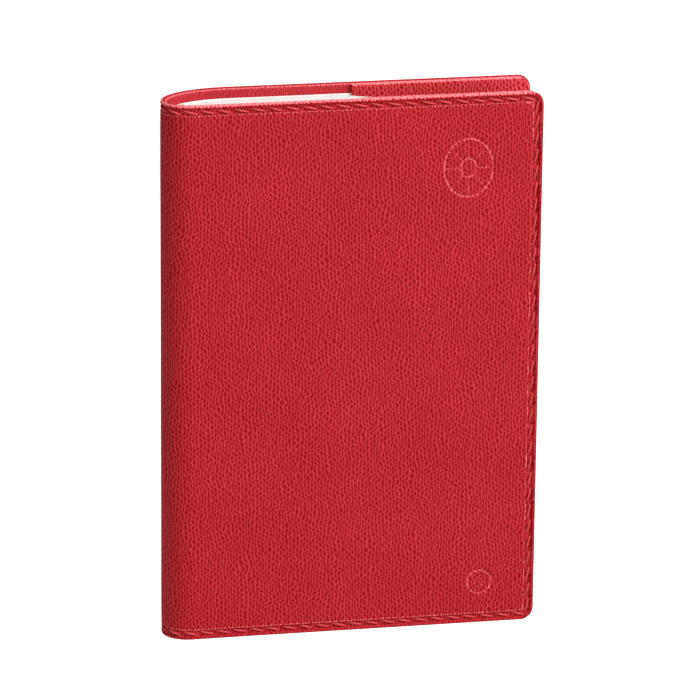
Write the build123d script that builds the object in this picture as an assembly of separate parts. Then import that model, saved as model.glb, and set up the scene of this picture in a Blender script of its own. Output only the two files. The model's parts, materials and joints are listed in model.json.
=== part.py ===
from build123d import *
import os

# A pocket notebook: a sewn paper refill in a soft, padded, stitched slip-on cover with two pockets.
# Millimetres. It stands on its lower edges: +Z is up, the front cover faces -Y, the spine is at -X
# and the fore-edge at +X. The origin is under the middle of the whole book.
os.makedirs("parts", exist_ok=True)

# The closed cover
HEIGHT = 156.0
WIDTH = 106.0
THICKNESS = 19.0
CORNER_RADIUS = 3.8

# The spine is an uneven roll: tight towards the front, long and slack towards the back.
SPINE_TIP_FROM_FRONT = 7.0
FRONT_ROLL = 8.0
BACK_ROLL = 20.0

# Layers of the cover, outside to inside
SKIN = 0.8
PADDING = 0.6
LINING = 0.4
POCKET_GAP = 0.55
POCKET_SHEET = 0.7
POCKET_WIDTH = 51.0
BORDER = 3.2

# The stitched groove along the border
GROOVE_START = 1.1
GROOVE_END = 2.9
GROOVE_DEPTH = 0.5
STITCH_PITCH = 4.7
STITCH_LENGTH = 3.7
STITCH_WIDTH = 0.55
STITCH_SLANT = 13.0

# The refill
OVERHANG = 3.0
FORE_EDGE_SETBACK = 2.8
CARD = 0.35
CARD_DEPTH = 1.9
FLYLEAF = 0.2
MULL_DEPTH = 2.35
MULL = 0.1
GLUE_DEPTH = 2.55
GLUE = 0.35
FOLD_DEPTH = 3.0
SECTIONS = 8
LEAF_GAP = 0.15
THREAD = 0.3
TAPES = 3
TAPE_WIDTH = 12.0

# Clearances between what turns and what stays
HINGE_GAP = 0.3
LEAF_START = 1.6
FOLD_END = 1.0

# Blind-pressed marks on the front cover
MEDALLION_WIDTH = 14.5
MEDALLION_HEIGHT = 17.5
MEDALLION_FROM_EDGES = 21.0
MARK_SIZE = 7.0
MARK_FROM_EDGE = 16.0
MARK_FROM_FOOT = 12.5
PRESS_DEPTH = 0.25
PRESS_LINE = 0.6

HALF = THICKNESS / 2
SPINE_X = -WIDTH / 2
EDGE_X = WIDTH / 2
HINGE_X = SPINE_X + FRONT_ROLL
BACK_FLAT_X = SPINE_X + BACK_ROLL
TIP_Y = SPINE_TIP_FROM_FRONT - HALF
PADDED = SKIN + PADDING
WALL = PADDED + LINING
POCKET_X = EDGE_X - POCKET_WIDTH
POCKET_DEPTH = WALL + POCKET_GAP
FULL_WALL = POCKET_DEPTH + POCKET_SHEET
BLOCK_EDGE_X = EDGE_X - FORE_EDGE_SETBACK
FAR = 3 * WIDTH

# The front and back limits of the pages at the folds, past the roll, and each side of the pocket's edge
LEAF_STATIONS = (
    (HINGE_X, (-6.5, 3.9)),
    (BACK_FLAT_X, (-6.7, 6.7)),
    (POCKET_X - 6, (-6.7, 6.7)),
    (POCKET_X + 5, (-5.2, 2.1)),
    (BLOCK_EDGE_X, (-5.1, 2.0)),
)
TURNING_STATIONS = [HINGE_X + LEAF_START] + [x for x, limits in LEAF_STATIONS[1:]]

SIDES = ("front", "back")


def between(low, high):
    """A solid box from one corner to the other."""
    size = [b - a for a, b in zip(low, high)]
    middle = [(a + b) / 2 for a, b in zip(low, high)]
    return Pos(*middle) * Box(*size)


def plan(depth):
    """The plan area this far inside the cover's outer surface, open past the fore-edge."""
    front_arc = EllipticalCenterArc(
        (HINGE_X, TIP_Y), FRONT_ROLL - depth, TIP_Y + HALF - depth, 180, arc_size=90
    )
    back_arc = EllipticalCenterArc(
        (BACK_FLAT_X, TIP_Y), BACK_ROLL - depth, HALF - TIP_Y - depth, 90, arc_size=90
    )
    straight = Polyline(
        (HINGE_X, -HALF + depth), (FAR, -HALF + depth), (FAR, HALF - depth), (BACK_FLAT_X, HALF - depth)
    )
    return make_face([back_arc, front_arc, straight])


def layer(outer, inner, bottom=0.0, top=HEIGHT):
    """The wrap-round wall between two depths, from bottom to top."""
    return Pos(0, 0, bottom) * extrude(plan(outer) - plan(inner), top - bottom)


def panel(side, inset=0.0, start=HINGE_X + HINGE_GAP / 2, radius=CORNER_RADIUS):
    """The block of space that one flat cover takes, its fore-edge corners rounded."""
    low_y, high_y = (-FAR, TIP_Y) if side == "front" else (TIP_Y, FAR)
    block = between((start, low_y, inset), (EDGE_X - inset, high_y, HEIGHT - inset))
    corners = block.edges().filter_by(Axis.Y).group_by(Axis.X)[-1]
    return fillet(corners, max(radius - inset, 0.6))


def spine_space(inset=0.0):
    return between((-FAR, -FAR, inset), (HINGE_X - HINGE_GAP / 2, FAR, HEIGHT - inset))


def groove(space):
    """The sunk channel that the stitches lie in, along the free edges of a cover piece."""
    channel = layer(-1, GROOVE_DEPTH)
    return channel & (space(GROOVE_START) - space(GROOVE_END))


def stitch_places():
    """Centre (x, z) and slant of each stitch along the head, fore-edge and foot of one cover."""
    line = (GROOVE_START + GROOVE_END) / 2
    run = EDGE_X - CORNER_RADIUS - HINGE_X - STITCH_PITCH / 2
    across = int(run / STITCH_PITCH)
    for n in range(across):
        x = HINGE_X + (n + 0.75) * STITCH_PITCH
        yield x, HEIGHT - line, STITCH_SLANT
        yield x, line, -STITCH_SLANT
    rise = HEIGHT - 2 * CORNER_RADIUS
    up = int(rise / STITCH_PITCH)
    for n in range(up):
        z = CORNER_RADIUS + (n + 0.5) * rise / up
        yield EDGE_X - line, z, 90 - STITCH_SLANT


def straight_stitches(side):
    """One short slanted thread for each stitch of a flat cover, as a group of solids."""
    facing = -1 if side == "front" else 1
    lift = HALF - GROOVE_DEPTH / 2
    threads = []
    for x, z, slant in stitch_places():
        if side == "back" and x - STITCH_LENGTH / 2 < BACK_FLAT_X:
            continue
        stitch = Box(STITCH_LENGTH, GROOVE_DEPTH - 0.2, STITCH_WIDTH)
        threads.append(Pos(x, facing * lift, z) * Rot(0, slant, 0) * stitch)
    return threads


def curved_stitches(x_from, x_to, y_from=-FAR):
    """Stitches that follow the rolled part of the groove between two x positions."""
    line = (GROOVE_START + GROOVE_END) / 2
    channel = layer(0.1, GROOVE_DEPTH - 0.1)
    front_arc = EllipticalCenterArc((HINGE_X, TIP_Y), FRONT_ROLL, TIP_Y + HALF, 180, arc_size=90)
    back_arc = EllipticalCenterArc((BACK_FLAT_X, TIP_Y), BACK_ROLL, HALF - TIP_Y, 90, arc_size=90)
    threads = []
    for arc in (front_arc, back_arc):
        count = round(arc.length / STITCH_PITCH)
        for n in range(count):
            at = arc @ ((n + 0.5) / count)
            along = arc % ((n + 0.5) / count)
            reach = abs(along.X) * STITCH_LENGTH / 2
            if at.X - reach < x_from or at.X + reach > x_to or at.Y < y_from:
                continue
            angle = Vector(1, 0, 0).get_signed_angle(along, Vector(0, 0, 1))
            for z in (line, HEIGHT - line):
                cutter = Pos(at.X, at.Y, z) * Rot(0, 0, angle) * Box(STITCH_LENGTH, 3, STITCH_WIDTH)
                threads += (channel & cutter).solids()
    return threads


def oval_ring(x, z, width, height):
    """A thin upright oval ring pressed into the front cover."""
    ring = Ellipse(width / 2, height / 2) - Ellipse(width / 2 - PRESS_LINE, height / 2 - PRESS_LINE)
    return Pos(x, -HALF + PRESS_DEPTH, z) * Rot(90, 0, 0) * extrude(ring, 2 * PRESS_DEPTH)


def pressed_marks():
    medallion_x = EDGE_X - MEDALLION_FROM_EDGES
    medallion_z = HEIGHT - MEDALLION_FROM_EDGES
    outer = oval_ring(medallion_x, medallion_z, MEDALLION_WIDTH, MEDALLION_HEIGHT)
    inner = oval_ring(medallion_x, medallion_z, MEDALLION_WIDTH / 2, MEDALLION_HEIGHT / 2)
    mark = oval_ring(EDGE_X - MARK_FROM_EDGE, MARK_FROM_FOOT, MARK_SIZE, MARK_SIZE)
    return outer + inner + mark


def cover_piece(side):
    """Skin, padding, lining, pocket and stitching of one flat cover, by node name."""
    def space(inset, start=HINGE_X + HINGE_GAP / 2):
        return panel(side, inset, start)

    whole = space(0)
    skin = (layer(0, PADDED) & whole) - (layer(SKIN, PADDED) & space(BORDER)) - groove(space)
    if side == "front":
        skin -= pressed_marks()
    padding = layer(SKIN, PADDED) & space(BORDER + 0.1)
    lining = layer(PADDED, WALL) & whole
    pouch = between((0, -FAR, OVERHANG - 0.4), (BLOCK_EDGE_X + 0.3, FAR, HEIGHT - OVERHANG + 0.4))
    pocket = (layer(WALL, FULL_WALL) & space(0, POCKET_X)) - (layer(WALL, POCKET_DEPTH) & pouch)
    threads = straight_stitches(side)
    if side == "back":
        threads += curved_stitches(HINGE_X + HINGE_GAP, BACK_FLAT_X, 0)
    return {
        "skin": skin,
        "padding": padding,
        "lining": lining,
        "pocket": pocket,
        "stitching": Compound(children=threads),
        "card": refill_layer(CARD_DEPTH, CARD) & space(0, HINGE_X + LEAF_START),
    }


def refill_layer(depth, thickness, bottom=OVERHANG, top=HEIGHT - OVERHANG):
    """A sheet of the refill this far inside the cover's surface."""
    sheet = layer(depth, depth + thickness, bottom, top)
    return sheet & between((-FAR, -FAR, 0), (BLOCK_EDGE_X, FAR, HEIGHT))


def leaf_y(share, x):
    """Where the boundary at this share of the pages runs, 0 at the front and 1 at the back.

    The pages are squeezed together at the folds and full past the spine's roll. From the free
    edges of the pockets out to the fore-edge they are thinner and lean towards the front.
    """
    for (x0, low), (x1, high) in zip(LEAF_STATIONS, LEAF_STATIONS[1:]):
        if x <= x1:
            break
    t = (x - x0) / (x1 - x0)
    at_low = low[0] + share * (low[1] - low[0])
    at_high = high[0] + share * (high[1] - high[0])
    return at_low + t * (at_high - at_low)


def leaves(low_share, high_share, low_shift, high_shift, stations):
    """A stack of leaves between two boundaries, through these x stations."""
    front = [(x, leaf_y(low_share, x) + low_shift) for x in stations]
    back = [(x, leaf_y(high_share, x) + high_shift) for x in reversed(stations)]
    outline = make_face(Polyline(*front, *back, close=True))
    return Pos(0, 0, OVERHANG) * extrude(outline, HEIGHT - 2 * OVERHANG)


def sections():
    """The sewn sections: their leaves, which turn, and their folds, which stay in the spine."""
    fixed = (SPINE_X + 1, HINGE_X + FOLD_END)
    heart = Pos(0, 0, OVERHANG) * extrude(plan(FOLD_DEPTH), HEIGHT - 2 * OVERHANG)
    made, folds = {}, []
    for n in range(SECTIONS):
        low, high = n / SECTIONS, (n + 1) / SECTIONS
        made[f"section_{n + 1}"] = leaves(low, high, LEAF_GAP / 2, -LEAF_GAP / 2, TURNING_STATIONS)
        fold = leaves(low, high, LEAF_GAP / 2, -LEAF_GAP / 2, fixed) & heart
        folds += fold.solids()
    made["section_folds"] = Compound(children=folds)
    return made


def flyleaf(side):
    if side == "front":
        return leaves(0, 0, -LEAF_GAP - FLYLEAF, -LEAF_GAP, TURNING_STATIONS)
    return leaves(1, 1, LEAF_GAP, LEAF_GAP + FLYLEAF, TURNING_STATIONS)


def sewing_thread():
    """The thread that runs down inside each fold, in three visible runs between the tapes."""
    x = HINGE_X + (LEAF_START + FOLD_END) / 2
    reach = HEIGHT - 2 * OVERHANG
    runs = []
    for n in range(SECTIONS):
        y = leaf_y((n + 0.5) / SECTIONS, x)
        for step in range(TAPES):
            start = OVERHANG + reach * (step + 0.2) / TAPES
            run = Cylinder(THREAD / 2, reach * 0.6 / TAPES, align=(Align.CENTER, Align.CENTER, Align.MIN))
            runs.append(Pos(x, y, start) * run)
    return Compound(children=runs)


def tape_bands():
    """The height bands that the sewing tapes take across the spine of the refill."""
    reach = HEIGHT - 2 * OVERHANG
    bands = []
    for n in range(TAPES):
        middle = OVERHANG + reach * (n + 0.5) / TAPES
        bands.append(between((-FAR, -FAR, middle - TAPE_WIDTH / 2), (FAR, FAR, middle + TAPE_WIDTH / 2)))
    return bands


def spine_pieces():
    whole = spine_space()
    skin = (layer(0, PADDED) & whole) - (layer(SKIN, PADDED) & spine_space(BORDER))
    skin -= groove(spine_space)
    glue = refill_layer(GLUE_DEPTH, GLUE) & whole
    bands = tape_bands()
    return {
        "spine_skin": skin,
        "spine_padding": layer(SKIN, PADDED) & spine_space(BORDER + 0.1),
        "spine_lining": layer(PADDED, WALL) & whole,
        "spine_stitching": Compound(children=curved_stitches(SPINE_X - 1, HINGE_X - HINGE_GAP)),
        "spine_card": refill_layer(CARD_DEPTH, CARD) & whole,
        "mull": refill_layer(MULL_DEPTH, MULL) & whole,
        "spine_glue": glue - bands,
        "sewing_tapes": Compound(children=[s for band in bands for s in (glue & band).solids()]),
        "sewing_thread": sewing_thread(),
    }


nodes = dict(spine_pieces())
for side in SIDES:
    for name, piece in cover_piece(side).items():
        nodes[f"{side}_{name}"] = piece
    nodes[f"{side}_flyleaf"] = flyleaf(side)
nodes.update(sections())

for name, piece in nodes.items():
    export_step(piece, f"parts/{name}.step")
    print(name, len(piece.solids()), round(piece.volume))
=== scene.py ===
# %% [markdown]
# # A pocket notebook in a soft red cover
#
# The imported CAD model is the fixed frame: it says how big the book is, where each piece lies and
# which body moves it. Everything below is added round that frame, in metres. Nothing in the frame
# is moved. Plain CAD pieces are hidden where a finer piece takes their place.

# %% Load the frame
import json
import math

import bmesh
import bpy
import numpy as np
from mathutils import Matrix, Vector, noise


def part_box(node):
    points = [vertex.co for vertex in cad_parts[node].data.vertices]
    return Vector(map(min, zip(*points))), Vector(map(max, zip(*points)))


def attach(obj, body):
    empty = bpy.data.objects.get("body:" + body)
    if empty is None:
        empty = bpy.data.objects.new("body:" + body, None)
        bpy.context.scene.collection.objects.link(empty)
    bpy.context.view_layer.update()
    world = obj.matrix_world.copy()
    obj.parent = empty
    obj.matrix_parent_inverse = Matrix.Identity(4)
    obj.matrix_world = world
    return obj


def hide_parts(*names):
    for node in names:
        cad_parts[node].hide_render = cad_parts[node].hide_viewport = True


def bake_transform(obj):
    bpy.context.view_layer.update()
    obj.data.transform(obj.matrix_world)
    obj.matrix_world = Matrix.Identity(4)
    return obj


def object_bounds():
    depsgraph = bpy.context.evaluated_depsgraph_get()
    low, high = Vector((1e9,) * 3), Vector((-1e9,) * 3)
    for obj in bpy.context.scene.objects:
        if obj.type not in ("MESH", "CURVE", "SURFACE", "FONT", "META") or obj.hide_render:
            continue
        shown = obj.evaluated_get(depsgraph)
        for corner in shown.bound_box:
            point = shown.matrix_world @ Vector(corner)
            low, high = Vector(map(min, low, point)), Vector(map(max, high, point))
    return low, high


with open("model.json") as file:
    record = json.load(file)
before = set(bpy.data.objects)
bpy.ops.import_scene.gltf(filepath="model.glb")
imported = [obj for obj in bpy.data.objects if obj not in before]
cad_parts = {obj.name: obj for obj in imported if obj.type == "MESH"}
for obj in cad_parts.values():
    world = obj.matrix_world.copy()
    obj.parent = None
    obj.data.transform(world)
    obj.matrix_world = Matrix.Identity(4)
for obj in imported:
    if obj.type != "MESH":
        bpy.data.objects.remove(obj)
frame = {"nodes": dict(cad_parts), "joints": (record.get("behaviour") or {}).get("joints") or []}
cad_low, cad_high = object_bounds()
print("CAD box", [round(x, 4) for x in (*cad_low, *cad_high)])

# %% [markdown]
# ## Sizes that every piece needs
#
# The joints give the upright hinge lines. The boxes of the CAD nodes give the rest. Only the shape
# of the spine's roll is repeated here, because a box can't say how a curve runs: it is a quarter
# ellipse towards the front, and a longer one towards the back. Past `flat_x` the cover is flat.

# %% Read the sizes
mm = 0.001
joints = {joint["name"]: joint for joint in frame["joints"]}
height = cad_high.z
half = cad_high.y
spine_x = cad_low.x
edge_x = cad_high.x
hinge_x = joints["front_leaves"]["pos_m"][0]
front_roll = hinge_x - spine_x
back_roll = 20 * mm
tip_y = -half + 7 * mm
back_x = spine_x + back_roll
flat_x = hinge_x + 6 * mm
same_place = 1e-7

leaf_foot, leaf_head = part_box("section_1")[0].z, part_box("section_1")[1].z
block_edge_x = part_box("section_1")[1].x
pocket_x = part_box("front_pocket")[0].x
print("hinge at", round(hinge_x / mm, 2), "mm, pockets from", round(pocket_x / mm, 2), "mm")

# %% [markdown]
# ## One flat sheet, then one roll
#
# A real cover is cut and sewn flat, and only then rolled round the book. The script does the same.
# A point of the flat sheet has three numbers: `u` runs along the sheet from the back fore-edge,
# round the spine, to the front fore-edge; `z` is the height; and depth is how far in the point
# lies from the cover's outer face. `Track` turns those into a place in the book.

# %% The track that the sheet is rolled along
def ellipse_points(centre, radii, start, end, steps=160):
    """Points of a quarter ellipse, from one angle to another in degrees."""
    angles = np.radians(np.linspace(start, end, steps))
    return np.stack([centre[0] + radii[0] * np.cos(angles), centre[1] + radii[1] * np.sin(angles)], 1)


class Track:
    """The outer line of the closed cover in plan, measured along its length."""

    def __init__(self):
        back = ellipse_points((back_x, tip_y), (back_roll, half - tip_y), 90, 180)
        front = ellipse_points((hinge_x, tip_y), (front_roll, tip_y + half), 180, 270)
        points = np.vstack([[(edge_x, half)], back, front[1:], [(edge_x, -half)]])
        steps = np.linalg.norm(np.diff(points, axis=0), axis=1)
        self.points = points
        self.u = np.concatenate([[0], np.cumsum(steps)])
        along = np.gradient(points, self.u, axis=0)
        along[:2], along[-2:] = (-1, 0), (1, 0)
        along /= np.linalg.norm(along, axis=1)[:, None]
        self.inward = np.stack([-along[:, 1], along[:, 0]], 1)
        self.length = self.u[-1]

    def place(self, u, depth):
        """Plan position of a point at u, this deep in the cover."""
        x = np.interp(u, self.u, self.points[:, 0]) + depth * np.interp(u, self.u, self.inward[:, 0])
        y = np.interp(u, self.u, self.points[:, 1]) + depth * np.interp(u, self.u, self.inward[:, 1])
        return x, y

    def u_at(self, x, side):
        """Where the outer line crosses an x position on the front or the back."""
        middle = len(self.u) // 2
        if side == "front":
            return float(np.interp(x, self.points[middle:, 0], self.u[middle:]))
        return float(np.interp(-x, -self.points[:middle, 0], self.u[:middle]))


track = Track()
front_flat_u = track.u_at(flat_x, "front")
print("flat sheet", round(track.length / mm, 1), "mm long,", round(height / mm, 1), "mm high")

# %% [markdown]
# ## Rings that grow a slab
#
# A circle of vertices is pulled apart into a rounded rectangle: each quarter of the circle moves to
# its own corner. Extruding the ring's edges and placing the new ring a little further in, or less
# deep, draws the edge's profile all round at once. That is why the groove turns the corners cleanly.

# %% Ring helpers
CORNER_STEPS = 9


def place_ring(bm, verts, box, radius, depth):
    """Moves a ring of vertices to a rounded rectangle (u low, u high, z low, z high) at a depth."""
    step = bm.verts.layers.int["ring_step"]
    low_u, high_u, low_z, high_z = box
    centres = [
        (high_u - radius, high_z - radius),
        (low_u + radius, high_z - radius),
        (low_u + radius, low_z + radius),
        (high_u - radius, low_z + radius),
    ]
    for vert in verts:
        angle = math.radians((vert[step] + 0.5) * 90 / CORNER_STEPS)
        u, z = centres[vert[step] // CORNER_STEPS]
        vert.co = (u + radius * math.cos(angle), z + radius * math.sin(angle), -depth)


def ring_slab(rings):
    """A closed flat slab through a list of rings, each (box, radius, depth), capped at both ends."""
    bm = bmesh.new()
    step = bm.verts.layers.int.new("ring_step")
    ring = bmesh.ops.create_circle(bm, cap_ends=True, segments=4 * CORNER_STEPS, radius=1)["verts"]
    for number, vert in enumerate(sorted(ring, key=lambda v: math.atan2(v.co.y, v.co.x) % math.tau)):
        vert[step] = number
    edges = list(bm.edges)
    for number, (box, radius, depth) in enumerate(rings):
        if number:
            grown = bmesh.ops.extrude_edge_only(bm, edges=edges)["geom"]
            ring = [g for g in grown if isinstance(g, bmesh.types.BMVert)]
            edges = [g for g in grown if isinstance(g, bmesh.types.BMEdge) and g.is_boundary]
        place_ring(bm, ring, box, radius, depth)
    bmesh.ops.edgeloop_fill(bm, edges=edges)
    bmesh.ops.recalc_face_normals(bm, faces=bm.faces[:])
    return bm


def cut_across(bm, point, direction, clear=False):
    """Cuts the whole mesh with a plane, and if asked deletes what lies beyond it."""
    everything = bm.verts[:] + bm.edges[:] + bm.faces[:]
    bmesh.ops.bisect_plane(bm, geom=everything, dist=same_place, plane_co=point, plane_no=direction,
                           clear_outer=clear)


def cut_lines(bm, axis, places):
    """Cuts the mesh at each place along an axis, so that it can bend there."""
    direction = (1, 0, 0) if axis == "u" else (0, 1, 0)
    for place in places:
        cut_across(bm, [place * c for c in direction], direction)


def spread(start, end, pitch):
    """Evenly spaced places strictly between two limits, about a pitch apart."""
    count = max(1, round(abs(end - start) / pitch))
    return [start + (end - start) * n / count for n in range(1, count)]


def keep_flat_map(bm, pressed=None):
    """Stores each corner's flat place as its UV, in metres, so patterns follow the leather.

    Depth is added to both, so that the pattern also runs on over the rims. A second map, "pressed",
    keeps how far a mark is pressed in there, which also paints its lines pale as a painted highlight,
    and the share of edge wear and painted highlight, from 0 to 1.
    """
    layer = bm.loops.layers.uv.new("flat")
    press_layer = bm.loops.layers.uv.new("pressed")
    for face in bm.faces:
        for loop in face.loops:
            flat = loop.vert.co
            loop[layer].uv = (flat.x - flat.z, flat.y - flat.z)
            loop[press_layer].uv = pressed.get(loop.vert, (0.0, 0.0)) if pressed else (0.0, 0.0)


def roll_up(bm):
    """Rolls a flat mesh round the book."""
    flat = np.array([v.co for v in bm.verts]).reshape(-1, 3)
    x, y = track.place(flat[:, 0], -flat[:, 2])
    for vert, new_x, new_y, z in zip(bm.verts, x, y, flat[:, 1]):
        vert.co = (new_x, new_y, z)


# %% [markdown]
# ## Pieces cut at the hinges
#
# When a cover opens, three joints may turn one after another: the leaves, the flyleaf and the
# cover itself. Neighbouring strips share their border exactly. The spine and the covers ride on
# their bodies; the strips between the hinge lines stay where they were made.

# %% Split a rolled mesh at the hinges
bends = [hinge_x, hinge_x + 0.6 * mm, hinge_x + 1.2 * mm, hinge_x + 5.2 * mm]
chains = {
    "front": ["spine", "section_1", "front_flyleaf", "front_cover"],
    "back": ["spine", "section_8", "back_flyleaf", "back_cover"],
}


def add_object(name, data):
    made = bpy.data.objects.new(name, data)
    bpy.context.scene.collection.objects.link(made)
    return made


def make_object(bm, name, materials):
    """A finished object from a bmesh, smooth shaded, with its materials in order."""
    for face in bm.faces:
        face.smooth = True
    mesh = bpy.data.meshes.new(name)
    bm.to_mesh(mesh)
    bm.free()
    for material in materials:
        mesh.materials.append(material)
    return add_object(name, mesh)


def raised_grid(columns, rows):
    """A grid, 1 by 1, pulled up by 1 into a closed block, for a slab of paper."""
    bm = bmesh.new()
    bmesh.ops.create_grid(bm, x_segments=columns, y_segments=rows, size=0.5)
    grown = bmesh.ops.extrude_face_region(bm, geom=bm.faces[:])["geom"]
    top = [g for g in grown if isinstance(g, bmesh.types.BMVert)]
    bmesh.ops.translate(bm, verts=top, vec=(0, 0, 1))
    return bm


def sharpen(bm, sharp_turn=0.9):
    """Keeps shading crisp over edges that turn by more than this, in radians."""
    for edge in bm.edges:
        if len(edge.link_faces) == 2 and edge.calc_face_angle(0) > sharp_turn:
            edge.smooth = False


def slice_between(bm, low, high, side=None):
    """A copy of the part of a rolled mesh between two x planes, closed where it was cut."""
    part = bm.copy()
    for x, direction in ((low, -1), (high, 1)):
        if x is not None:
            cut_across(part, (x, 0, 0), (direction, 0, 0), clear=True)
    if side:
        facing = -1 if side == "front" else 1
        wrong = [f for f in part.faces if (f.calc_center_median().y - tip_y) * facing < 0]
        bmesh.ops.delete(part, geom=wrong, context="FACES")
    rims = [e for e in part.edges if e.is_boundary]
    bmesh.ops.holes_fill(part, edges=rims)
    for edge in rims:
        edge.smooth = False
    return part


def place_at_hinges(bm, name, materials):
    """Cuts a rolled mesh into spine, hinge strips and covers; spine and covers ride their bodies.

    The name is the layer's, as in the CAD nodes spine_skin, front_skin and back_skin.
    """
    piece = make_object(slice_between(bm, None, bends[0]), f"spine_{name}_piece", materials)
    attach(piece, "spine")
    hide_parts(f"spine_{name}")
    pieces = [piece]
    for side, bodies in chains.items():
        for number, (low, high) in enumerate(zip(bends, bends[1:])):
            part = slice_between(bm, low, high, side)
            piece = make_object(part, f"{side}_{name}_bend_{number + 1}", materials)
            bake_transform(piece)
            pieces.append(piece)
        piece = make_object(slice_between(bm, bends[-1], None, side), f"{side}_{name}_piece", materials)
        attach(piece, bodies[-1])
        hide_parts(f"{side}_{name}")
        pieces.append(piece)
    bm.free()
    print(name, "made of", len(pieces), "parts,", sum(len(p.data.polygons) for p in pieces), "faces")
    return pieces


# %% [markdown]
# ## Shader helpers
#
# A few short functions make and join nodes. An effect that several materials share is a node group
# with named sockets, so each material can place it with its own values.

# %% Node helpers
def new_material(name):
    material = bpy.data.materials.new(name)
    material.use_nodes = True
    tree = material.node_tree
    return material, tree, tree.nodes["Principled BSDF"]


def add(tree, kind, **settings):
    """Adds a node. Settings that name an input socket fill it, others are the node's own."""
    node = tree.nodes.new(kind)
    for key, value in settings.items():
        if hasattr(node, key):
            setattr(node, key, value)
        else:
            node.inputs[key.replace("_", " ")].default_value = value
    return node


def join(tree, source, output, target, socket):
    tree.links.new(source.outputs[output], target.inputs[socket])


def maths(tree, operation, first, second=None, third=None, clamp=False):
    """A Math node. Each operand is a number or a (node, output) pair."""
    node = tree.nodes.new("ShaderNodeMath")
    node.operation = operation
    node.use_clamp = clamp
    for number, value in enumerate((first, second, third)):
        if isinstance(value, tuple):
            tree.links.new(value[0].outputs[value[1]], node.inputs[number])
        elif value is not None:
            node.inputs[number].default_value = value
    return node, "Value"


def ramp(tree, source, stops, smooth=False):
    """A colour ramp on a (node, output) pair. Each stop is (place, colour)."""
    node = tree.nodes.new("ShaderNodeValToRGB")
    node.color_ramp.interpolation = "EASE" if smooth else "LINEAR"
    while len(node.color_ramp.elements) < len(stops):
        node.color_ramp.elements.new(0.5)
    for element, (place, colour) in zip(node.color_ramp.elements, stops):
        element.position = place
        element.color = (*colour, 1)
    tree.links.new(source[0].outputs[source[1]], node.inputs["Fac"])
    return node


def colour_by(tree, shader, source, stops):
    """Colours a material by a ramp on a (node, output) pair."""
    tone = ramp(tree, source, stops)
    join(tree, tone, "Color", shader, "Base Color")
    return tone


def bump_by(tree, shader, source, strength, distance):
    """Gives a material relief from a (node, output) pair."""
    bump = add(tree, "ShaderNodeBump", Strength=strength, Distance=distance)
    join(tree, source[0], source[1], bump, "Height")
    join(tree, bump, "Normal", shader, "Normal")


def in_object_space(tree, node):
    """Feeds an object's own coordinates into a texture or a group."""
    join(tree, add(tree, "ShaderNodeTexCoord"), "Object", node, "Vector")


def node_group(name, inputs, outputs):
    """An empty shader node group with named inputs (name, kind, value) and outputs (name, kind)."""
    group = bpy.data.node_groups.new(name, "ShaderNodeTree")
    for label, kind, value in inputs:
        socket = group.interface.new_socket(label, in_out="INPUT", socket_type=kind)
        if value is not None:
            socket.default_value = value
    for label, kind in outputs:
        group.interface.new_socket(label, in_out="OUTPUT", socket_type=kind)
    return group, group.nodes.new("NodeGroupInput"), group.nodes.new("NodeGroupOutput")


def use_group(tree, group, **values):
    node = tree.nodes.new("ShaderNodeGroup")
    node.node_tree = group
    for key, value in values.items():
        node.inputs[key.replace("_", " ")].default_value = value
    return node


# %% [markdown]
# ## The leather grain
#
# Pressed imitation leather is a net of fine upright ridges that zigzag past small pits, each about
# 1 mm wide and 1.6 mm high, with the pits of one column beside the gaps of the next. A texture
# picture would need unwrapping and would repeat. A Voronoi texture gives round cells in no order.
# Two cosine waves multiplied give exactly the staggered net: one counts the columns, the other the
# pits. Noise bends the coordinates first, at two sizes, so the net wanders like a real hide's. The
# group puts out a height for the bump, and masks for the pits and for slow changes of tone.

# %% Ridge and pit group
def warp(group, source, scale, reach):
    """Pushes a coordinate about with noise. reach is a number or a (node, output) pair."""
    bend = add(group, "ShaderNodeTexNoise", Scale=scale, Detail=2.0)
    join(group, source, 0, bend, "Vector")
    centred = add(group, "ShaderNodeVectorMath", operation="SUBTRACT")
    centred.inputs[1].default_value = (0.5, 0.5, 0.5)
    join(group, bend, "Color", centred, 0)
    bent = add(group, "ShaderNodeVectorMath", operation="SCALE")
    join(group, centred, "Vector", bent, 0)
    if isinstance(reach, tuple):
        join(group, reach[0], reach[1], bent, "Scale")
    else:
        bent.inputs["Scale"].default_value = reach
    moved = add(group, "ShaderNodeVectorMath", operation="ADD")
    join(group, source, 0, moved, 0)
    join(group, bent, "Vector", moved, 1)
    return moved


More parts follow.
